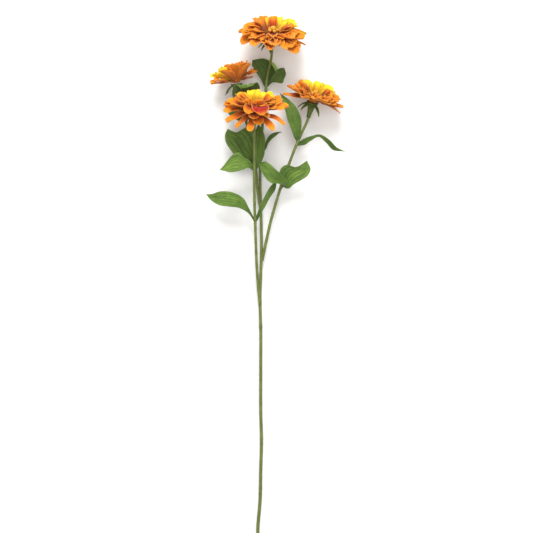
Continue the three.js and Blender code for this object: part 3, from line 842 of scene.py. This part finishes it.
def lit_yellow_share(bloom, petal):
    """How yellow a petal is: a sector of painted lemon light, with a few orange petals left in it."""
    centre, reach, layers = bloom["yellow"]
    away = abs((petal["azimuth"] - centre + 180) % 360 - 180)
    sector = smooth(reach + SECTOR_EDGE, reach - SECTOR_EDGE, away) * layers[petal["layer"]]
    taken = vary(petal["seed"], 13) < mix(FEWEST_YELLOW, 1, sector)
    return sector if taken else 0.1 * sector


def add_petal(bm, matrix, petal, yellow, red):
    """Red is added to the depth in the bloom, which is 1 at most."""
    tint = (yellow, petal["layer"] / 4 + 2 * red, vary(petal["seed"], 14), 1)
    add_blade(bm, *PETAL_GRID, bloom_spine(matrix, petal), petal_form(petal), tint)


CORE = {"low": 0.14, "top": 0.2, "depth": 0.2, "middle": 0.05}  # shares of the bloom's radius


def add_core(bm, bloom, matrix):
    """The short core inside the petals, on which they all grow."""
    radius = bloom["radius"]
    made = bmesh.ops.create_cone(
        bm, cap_ends=True, segments=24, radius1=CORE["low"] * radius,
        radius2=CORE["top"] * radius, depth=CORE["depth"] * radius, calc_uvs=True,
    )
    layer = bm.verts.layers.float_color["tint"]
    for vert in made["verts"]:
        vert.co = place(matrix @ (vert.co + Vector((0, 0, CORE["middle"] * radius))))
        vert[layer] = (0, 1, 0, 1)


def make_petals(name, bloom):
    bm = new_bmesh()
    matrix = bloom_matrix(bloom)
    add_core(bm, bloom, matrix)
    for layer in range(len(bloom["counts"])):
        for filler in (False, True) if layer in FILLED_LAYERS else (False,):
            for petal in layer_petals(bloom, layer, filler):
                add_petal(bm, matrix, petal, lit_yellow_share(bloom, petal), 0)
    for number, stray in enumerate(STRAYS.get(name, ())):
        azimuth, root, tip, length, half, layer, yellow, red = (*stray, 0, 0, 0)[:8]
        seed = bloom["base"][1] + 900 + number
        petal = petal_shape(bloom, layer, seed, azimuth, (root, tip), length, half)
        add_petal(bm, matrix, petal, yellow, red)
    return finish_piece(
        bm, f"petals_{name}", [petal_face, petal_back], f"{name}_petals", PETAL_THICKNESS
    )


for name, bloom in BLOOMS.items():
    piece = make_petals(name, bloom)
    print(piece.name, len(piece.data.polygons), "faces")

# %% [markdown]
# ## The disc
# In the middle of a bloom sit a few golden knobs, which are florets that are still rolled up:
# a larger one in the centre and a ring of five round it. Each is an icosphere that is drawn up
# a little, dimpled on top and grooved down its sides.

# %% Disc knobs
CENTRE_RADIUS = 0.175  # shares of the bloom's radius
KNOB_RADIUS = 0.056
MIDDLE_KNOB_RADIUS = 0.095
CORE_TOP = 0.165
CLEARANCE = 0.3
KNOBS_ROUND = 5
KNOB_GROOVES = 5


def add_knob(bm, matrix, centre, size, axis_height):
    layer = bm.verts.layers.float_color["tint"]
    made = bmesh.ops.create_icosphere(bm, subdivisions=4, radius=1.0, calc_uvs=True)
    for vert in made["verts"]:
        x, y, z = vert.co
        angle = math.atan2(y, x)
        flank = math.hypot(x, y)
        groove = 1 - 0.09 * (0.5 + 0.5 * math.cos(KNOB_GROOVES * angle + size)) * flank
        dimple = 0.35 * bump_at(flank, 0, 0.35) if z > 0 else 0
        local = Vector((x * groove, y * groove, (z - dimple) * 1.05)) * size
        vert.co = place(matrix @ (Vector(centre) + local))
        # The tint is low down a knob and in its dimple, where painted shade browns it.
        vert[layer] = (smooth(-0.3, 0.9, z - dimple), 0, 0, 1)


def make_centre(name, bloom):
    bm = new_bmesh()
    matrix = bloom_matrix(bloom)
    size = KNOB_RADIUS * bloom["radius"]
    reach = CENTRE_RADIUS * bloom["radius"] - size
    floor = CORE_TOP * bloom["radius"] + CLEARANCE
    for number in range(KNOBS_ROUND):
        angle = 2 * math.pi * number / KNOBS_ROUND
        centre = (reach * math.cos(angle), reach * math.sin(angle), floor + size)
        add_knob(bm, matrix, centre, size * (0.95 + 0.1 * vary(number, 3)), size)
    middle = MIDDLE_KNOB_RADIUS * bloom["radius"]
    add_knob(bm, matrix, (0, 0, floor + middle), middle, middle)
    return finish_piece(bm, f"disc_{name}", [knob_skin], f"{name}_centre")


for name, bloom in BLOOMS.items():
    print(make_centre(name, bloom).name)

# %% [markdown]
# ## The calyx
# Under the petals the stem widens into a green funnel, spun from its profile, and a ring of
# narrow sepals hangs down round it. The sepals are blades like the petals, pointed and thicker.

# %% Calyx
CALYX_RIM = -3.4
CALYX_PROFILE = (
    (2.0, 1.0), (2.9, 1.0), (3.1, 0.9), (3.3, 0.75), (4.3, 0.45), (6.0, 0.2), (8.0, 0.05), (8.6, 0.0),
    (2.0, 0.0),
)  # millimetres of radius, and shares of the funnel's length below the rim
SEPAL = {"length": 17, "half": 3.1, "root": (5, -6), "elevations": (-14, -64)}
SEPAL_THICKNESS = 0.0007


def sepal_plan(azimuth, seed):
    return {
        "azimuth": azimuth,
        "root": SEPAL["root"],
        "length": SEPAL["length"] * (0.85 + 0.3 * vary(seed, azimuth)),
        "elevations": SEPAL["elevations"],
        "twist": 30 * (vary(seed, azimuth + 1) - 0.5),
    }


def sepal_form(across, along):
    width = SEPAL["half"] * (1 - 0.75 * along**2) * math.sqrt(1 - min(along, 0.995) ** 6)
    rise = 0.3 * width * across**2 - 0.35 * bump_at(across, 0, 0.2)
    return width * across, rise, 0.0


def add_funnel(bm, bloom, matrix):
    points = [(r, 0, CALYX_RIM - depth * bloom["funnel"]) for r, depth in CALYX_PROFILE]
    verts = [bm.verts.new(point) for point in points]
    edges = [bm.edges.new(pair) for pair in zip(verts, verts[1:] + verts[:1])]
    spun = bmesh.ops.spin(
        bm, geom=verts + edges, cent=(0, 0, 0), axis=(0, 0, 1), angle=2 * math.pi, steps=40,
        use_merge=True,
    )
    bmesh.ops.remove_doubles(bm, verts=bm.verts, dist=1e-5)
    bmesh.ops.recalc_face_normals(bm, faces=bm.faces)
    for vert in bm.verts:
        angle = math.atan2(vert.co.y, vert.co.x)
        ridge = 1 + 0.03 * math.cos(8 * angle)
        vert.co = place(matrix @ Vector((vert.co.x * ridge, vert.co.y * ridge, vert.co.z)))


def make_calyx(name, bloom):
    matrix = bloom_matrix(bloom)
    funnel = new_bmesh()
    add_funnel(funnel, bloom, matrix)
    sepals = new_bmesh()
    for azimuth in bloom["sepals"]:
        plan = sepal_plan(azimuth, bloom["base"][1])
        add_blade(sepals, 6, 16, bloom_spine(matrix, plan), sepal_form)
    finish_piece(funnel, f"funnel_{name}", [calyx_painted_shade_skin], f"{name}_calyx")
    return finish_piece(
        sepals, f"sepals_{name}", [calyx_painted_shade_skin], f"{name}_calyx", SEPAL_THICKNESS
    )


for name, bloom in BLOOMS.items():
    print(make_calyx(name, bloom).name)

# %% [markdown]
# ## Stems
# Each stem runs through a few points and then straight up the neck of its bloom. A smooth
# curve through them is wrapped by a grid: one way of the grid goes round the stem, the other
# along it. The stem is slightly swollen on both sides of each joint and pinched at it, and the
# branches begin inside the stem that carries them.

# %% Stem table
SEAT_DEPTH = 11
NECK_DEPTH = 32
STEMS = {
    "main": {
        "bloom": "top", "radii": (2.4, 1.9), "joints": (71, 143, 236, 310, 344, 413, 519, 655),
        "points": (
            0, 0, 2.15, 0, 22, 2.3, 3, 58, 2.8, 4, 102, 3.5, 5, 146, 4.3, 4, 189, 5.2, 4, 247, 6.4,
            4, 305, 7.8, 3, 348, 9, 4, 384, 10, 5, 413, 10.8, 5, 442, 11.6, 4, 485, 12.8,
            3, 521, 14, 4, 564, 15, 7, 607, 16, 11, 647, 18, 14, 672, 23,
        ),
    },
    "front": {
        "bloom": "front", "radii": (2.1, 1.9), "joints": (461, 533),
        "points": (
            3, 338, 8.8, 0, 372, 13, -2, 403, 18, -3, 432, 23, -4, 461, 28.5, -5, 495, 36,
            -5, 533, 46,
        ),
    },
    "right": {
        "bloom": "right", "radii": (2.2, 1.9), "joints": (511, 572),
        "points": (
            6, 405, 10.8, 12, 433, 13, 18, 460, 15.5, 25, 485, 18.5, 33, 511, 22, 41, 534, 25,
            49, 555, 27.5, 57, 575, 29.5,
        ),
    },
    "left": {
        "bloom": "left", "radii": (2.0, 1.9), "joints": (542, 616),
        "points": (
            4, 478, 12.6, 0, 502, 14.5, -2, 524, 17, -4, 545, 19.5, -8, 568, 22.5, -13, 592, 26,
        ),
    },
}


# %% Stem curve
def curve_through(points, steps):
    """Points on a smooth curve that passes through the given ones, in even steps between them."""
    first = points[0] * 2 - points[1]
    last = points[-1] * 2 - points[-2]
    framed = [first, *points, last]
    made = []
    for a, b, c, d in zip(framed, framed[1:], framed[2:], framed[3:]):
        leave, arrive = (c - a) * 0.5, (d - b) * 0.5
        for step in range(steps):
            t = step / steps
            made.append(
                b * (2 * t**3 - 3 * t**2 + 1) + leave * (t**3 - 2 * t**2 + t)
                + c * (3 * t**2 - 2 * t**3) + arrive * (t**3 - t**2)
            )
    return [*made, points[-1]]


def stem_line(stem):
    matrix = bloom_matrix(BLOOMS[stem["bloom"]])
    neck = [matrix @ Vector((0, 0, -depth)) for depth in (NECK_DEPTH, SEAT_DEPTH)]
    return curve_through(points_of(stem["points"]) + neck, STEM_STEPS)


# %% [markdown]
# The radius tapers along the stem. At each joint a bell is added and a narrower, deeper one
# taken away, which leaves two soft lips with a groove between them.

# %% Stem tubes
STEM_STEPS = 16  # rings between two points of a stem
STEM_SIDES = 16
JOINT_SWELL, JOINT_SPREAD = 0.5, 3.2
JOINT_GROOVE, JOINT_GROOVE_WIDTH = 0.75, 0.9
WAVER, WAVER_PACE = 0.05, 0.35  # a stem is never quite even


def stem_radius(stem, share, y):
    radius = mix(*stem["radii"], share)
    for joint in stem["joints"]:
        radius += JOINT_SWELL * bump_at(y, joint, JOINT_SPREAD)
        radius -= JOINT_GROOVE * bump_at(y, joint, JOINT_GROOVE_WIDTH)
    return radius + WAVER * math.sin(WAVER_PACE * y)


def add_tube(bm, line, radius_at):
    """Wraps a grid round a line of points, closes its seam and caps its ends."""
    rings = len(line) - 1
    made = bmesh.ops.create_grid(
        bm, x_segments=STEM_SIDES, y_segments=rings, size=1.0, calc_uvs=True
    )["verts"]
    for vert in made:
        ring = round((vert.co.y + 1) / 2 * rings)
        angle = math.pi * vert.co.x
        middle = line[ring]
        tangent = (line[min(ring + 1, rings)] - line[max(ring - 1, 0)]).normalized()
        side = Vector((1, 0, 0))
        side = (side - tangent * side.dot(tangent)).normalized()
        up = side.cross(tangent)
        radius = radius_at(ring / rings, middle.y)
        vert.co = place(middle + (side * math.cos(angle) + up * math.sin(angle)) * radius)
    bmesh.ops.remove_doubles(bm, verts=made, dist=1e-6)
    bmesh.ops.holes_fill(bm, edges=bm.edges, sides=STEM_SIDES + 1)
    bmesh.ops.recalc_face_normals(bm, faces=bm.faces)


def make_stem():
    bm = new_bmesh()
    for stem in STEMS.values():
        line = stem_line(stem)
        add_tube(bm, line, lambda share, y, stem=stem: stem_radius(stem, share, y))
    return finish_piece(bm, "stem_skin", [stem_skin], "stem")


piece = make_stem()
print(piece.name, len(piece.data.polygons), "faces")

# %% [markdown]
# ## Leaves
# A leaf grows from its root on its stem's axis and spreads between two margins, which were
# placed point by point and end in its tip: its left one and its right one, as seen from its
# upper side. `fold` lifts the margins, `wave` ripples them, `shade` darkens the leaf with painted
# shade where it lies in shadow, and `curl` rolls one side over beyond a share of its width: side,
# share and radius.

# %% Leaf table
LEAF_COLUMNS = ("root", "fold", "wave", "shade", "curl", "left", "right")
NO_CURL = (0, 2, 1)  # no side is rolled: the roll would start beyond the margin
LEAF_ROWS = {
    "front_low_left": (
        (-4.5, 461, 28.5), 0.16, 0.6, 0, NO_CURL,
        (-13, 472, 32, -26, 480, 36, -40, 482, 38, -54, 484, 36, -65, 490, 31, -74, 500, 26),
        (-13, 480, 32, -21, 494, 36, -35, 502, 37, -51, 504, 36, -64, 501, 31, -74, 500, 26),
    ),
    "front_low_right": (
        (-3.5, 461, 28.5), 0.2, 0.4, 0.25, NO_CURL,
        (1, 478, 31, 4, 487, 34, 10, 498, 36, 15, 507, 35, 21, 515, 31, 26, 519, 26),
        (7, 477, 30, 12, 485, 30, 17, 496, 31, 24, 506, 30, 26, 513, 28, 26, 519, 26),
    ),
    "front_high_left": (
        (-5, 534, 46), 0.15, 0.7, 0, NO_CURL,
        (-14, 537, 50, -22, 534, 56, -31, 531, 59, -39, 530, 58, -46, 532, 55, -54, 534, 50),
        (-12, 547, 51, -20, 551, 57, -27, 558, 60, -34, 555, 59, -44, 545, 55, -54, 534, 50),
    ),
    "front_high_right": (
        (-5, 532, 45.5), 0.2, 0.5, 0.45, NO_CURL,
        (-5, 544, 42, -6, 557, 39, -6, 569, 36, -5, 580, 34, -3, 591, 32, 1, 601, 30),
        (4, 543, 42, 9, 556, 39, 10, 569, 36, 10, 580, 34, 7, 591, 32, 1, 601, 30),
    ),
    "right_low_left": (
        (31.8, 507, 21.8), 0.15, 0.5, 0.1, NO_CURL,
        (37, 512, 35, 29, 515, 42, 20, 515, 47, 13, 520, 49, 6, 531, 48, 2, 542, 45),
        (42, 517, 35, 35, 526, 41, 26, 534, 46, 17, 542, 48, 9, 546, 48, 2, 542, 45),
    ),
    "right_low_right": (
        (34, 513.5, 22.6), 0.2, 0.9, 0.12, NO_CURL,
        (35, 516, 26, 31, 528, 32, 34, 538, 37, 42, 542, 40, 56, 539, 42, 70, 547, 42),
        (44, 509, 25, 52, 515, 30, 62, 521, 36, 71, 527, 39, 75, 536, 42, 70, 547, 42),
    ),
    "right_high_left": (
        (57, 576, 29.7), 0.25, 0.5, 0.3, NO_CURL,
        (51, 583, 34, 47, 594, 38, 42, 606, 41, 39, 618, 42, 35, 631, 40, 32, 644, 35),
        (61, 586, 33, 62, 597, 36, 61, 609, 38, 56, 621, 40, 45, 634, 39, 32, 644, 35),
    ),
    "right_high_right": (
        (55, 571, 29.2), 0.2, 0.3, 0.35, NO_CURL,
        (65, 579, 33, 76, 583, 36, 89, 585, 38, 102, 578, 34, 113, 568, 27, 125, 562, 21),
        (67, 571, 31, 75, 576, 34, 87, 582, 36, 98, 574, 31, 108, 564, 24, 125, 562, 21),
    ),
    "top_low_left": (
        (11.5, 655, 19.4), 0.1, 0.4, 0.8, (-1, 0.35, 4.2),
        (22, 661, 16, 33, 669, 18, 38, 680, 20, 30, 691, 24, 12, 696, 27, -8, 692, 29),
        (5, 665, 16, 0, 672, 20, -5, 680, 24, -8, 684, 26, -8, 688, 28, -8, 692, 29),
    ),
    "top_low_right": (
        (12, 656, 19.6), 0.2, 0.6, 0.85, NO_CURL,
        (17, 665, 24, 22, 671, 28, 26, 677, 30, 30, 680, 30, 34, 681, 30, 38, 681, 27),
        (20, 661, 21, 27, 661, 23, 34, 660, 24, 37, 666, 25, 40, 673, 26, 38, 681, 27),
    ),
    "left_high_front": (
        (-20.5, 616, 30.6), 0.1, 0.4, 0.35, NO_CURL,
        (-10, 630, 29, -1, 641, 31, 3, 651, 39, 0, 657, 47, -4, 656, 52, -8, 653, 53),
        (-31, 629, 31, -36, 640, 38, -35, 649, 47, -31, 653, 52, -28, 652, 54, -24, 648, 53),
    ),
    "left_high_left": (
        (-18, 607, 28.5), 0.15, 0.4, 0.6, NO_CURL,
        (-26, 605, 28, -33, 608, 28, -39, 612, 28, -43, 617, 27, -46, 623, 26, -46, 633, 25),
        (-24, 613, 28, -29, 620, 28, -35, 625, 28, -39, 630, 28, -43, 633, 26, -46, 633, 25),
    ),
    "left_low_left": (
        (-4, 540, 18.7), 0.2, 1.2, 0.45, NO_CURL,
        (-18, 548, 26, -32, 555, 32, -40, 564, 36, -46, 574, 37, -47, 584, 37, -43, 593, 36),
        (0, 555, 24, -1, 572, 28, -6, 588, 31, -16, 596, 34, -29, 588, 36, -43, 593, 36),
    ),
    "left_low_right": (
        (-4.5, 546, 19.8), 0.15, 0.4, 0.8, NO_CURL,
        (-11, 556, 18, -15, 567, 16, -17, 579, 16, -18, 589, 18, -17, 597, 18, -14, 605, 18),
        (-2, 557, 17, -2, 569, 16, -3, 580, 16, -5, 590, 18, -9, 599, 18, -14, 605, 18),
    ),
    "top_mid_right": (
        (4, 561, 15), 0.2, 0.3, 0.4, NO_CURL,
        (9, 571, 19, 13, 580, 22, 18, 586, 24, 24, 589, 24, 29, 590, 22, 34, 590, 19),
        (11, 565, 18, 15, 574, 20, 20, 580, 22, 25, 584, 22, 30, 588, 22, 34, 590, 19),
    ),
}
LEAVES = {name: dict(zip(LEAF_COLUMNS, row)) for name, row in LEAF_ROWS.items()}

# %% [markdown]
# Each margin is a smooth curve through its points, made with the same function as the stems.
# Halfway between the two runs the midrib, and from the one to the other goes the side
# direction, so every row of the grid knows where it lies and how wide it is.

# %% Leaf stations
LEAF_GRID = (20, 48)
LEAF_THICKNESS = 0.0006
LEAF_ROOT_HALF = 1.7  # half of a leaf's width at its root, in millimetres
LEAF_TIP_HALF = 0.25


def leaf_stations(leaf):
    """For each row of the grid: the middle, side, normal, tangent and half width."""
    left, right = points_of(leaf["left"]), points_of(leaf["right"])
    spread = (right[0] - left[0]).normalized() * LEAF_ROOT_HALF
    steps = LEAF_GRID[1] // len(left)
    left = curve_through([Vector(leaf["root"]) - spread, *left], steps)
    right = curve_through([Vector(leaf["root"]) + spread, *right], steps)
    middles = [(a + b) / 2 for a, b in zip(left, right)]
    last = len(middles) - 1
    stations = []
    for i, middle in enumerate(middles):
        tangent = (middles[min(i + 1, last)] - middles[max(i - 1, 0)]).normalized()
        at = min(i, last - 1)  # the margins meet in the tip, so it takes the direction before it
        width = right[at] - left[at]
        side = width.normalized()
        normal = side.cross(tangent).normalized()
        half = width.length / 2 if i < last else LEAF_TIP_HALF
        stations.append((place(middle), side, normal, tangent, half))
    return stations


# %% [markdown]
# Across its width a leaf is a shallow trough with waved margins. A sharp midrib and softer
# veins beside it are pressed in, and the cloth puckers a little between them.

# %% Leaf form
VEINS = 7  # from edge to edge, the midrib included
VEIN_WIDTH = 0.07  # a share of the half width
SIDE_VEIN = 0.55  # how deep a side vein is beside the midrib
GROOVE_DEPTH = 0.8


def vein_groove(across, strength):
    """The depth of the pressed veins at a share of the half width, deepest on the midrib."""
    depth = 0.0
    for number in range(VEINS):
        at = 2 * (number + 0.5) / VEINS - 1
        share = 1.0 if abs(at) < 0.01 else SIDE_VEIN
        depth += share * strength * bump_at(across, at, VEIN_WIDTH)
    return depth


def leaf_form(leaf, stations, seed):
    curl_side, curl_from, curl_radius = leaf["curl"]
    last = len(stations) - 1

    def form(across, along):
        half = stations[round(along * last)][4]
        beyond = max(0.0, across * curl_side - curl_from) * half
        sideways, rise = half * across, 0.0
        if beyond:
            turn = beyond / curl_radius
            sideways = curl_side * (curl_from * half + curl_radius * math.sin(turn))
            rise = curl_radius * (math.cos(turn) - 1)
        wave = leaf["wave"] * math.sin(2 * math.pi * (1.6 * along + 0.25 * across))
        rise += leaf["fold"] * half * abs(across) ** 1.5 + wave * across**2
        full = smooth(0, 8, half)  # a narrow end has no room for folds
        rise += full * 0.5 * math.sin(17 * along + 3 * seed + 2 * across) * abs(across) ** 3
        rise += full * 0.3 * math.sin(8 * across + seed) * math.sin(7 * along + 2 * seed)
        rise += full * 0.16 * math.sin(31 * along + seed) * math.sin(5 * across + seed)
        return sideways, rise - vein_groove(across, GROOVE_DEPTH * full), 0.0

    return form


def make_leaf(name, leaf, seed):
    stations = leaf_stations(leaf)
    last = len(stations) - 1

    def spine(along):
        return stations[round(along * last)][:4]

    bm = new_bmesh()
    # The tint carries the leaf's painted shade and the side of its painted light band.
    tint = (leaf["shade"], leaf["curl"][0], 0, 1)
    add_blade(bm, LEAF_GRID[0], last, spine, leaf_form(leaf, stations, seed), tint, crowding=1)
    return finish_piece(
        bm, f"blade_{name}", [leaf_face, leaf_back], f"leaf_{name}", LEAF_THICKNESS
    )


for seed, (name, leaf) in enumerate(LEAVES.items()):
    make_leaf(name, leaf, seed)
print(len(LEAVES), "leaves")

# %% [markdown]
# ## The floor
# A plain pale sheet, wide enough that no edge shows. It isn't part of the spray. Its colour is
# nearly white.

# %% Floor
FLOOR_SIDE = 12.0
FLOOR_COLOUR = hex_colour("#f4f3f1")


def make_floor():
    bm = bmesh.new()
    bmesh.ops.create_grid(bm, x_segments=1, y_segments=1, size=FLOOR_SIDE / 2)
    material = new_material("pale floor", {"Base Color": FLOOR_COLOUR, "Roughness": 0.9})[0]
    floor = object_from(bm, "floor", [material])


make_floor()
print("the floor is", FLOOR_SIDE, "metres wide")
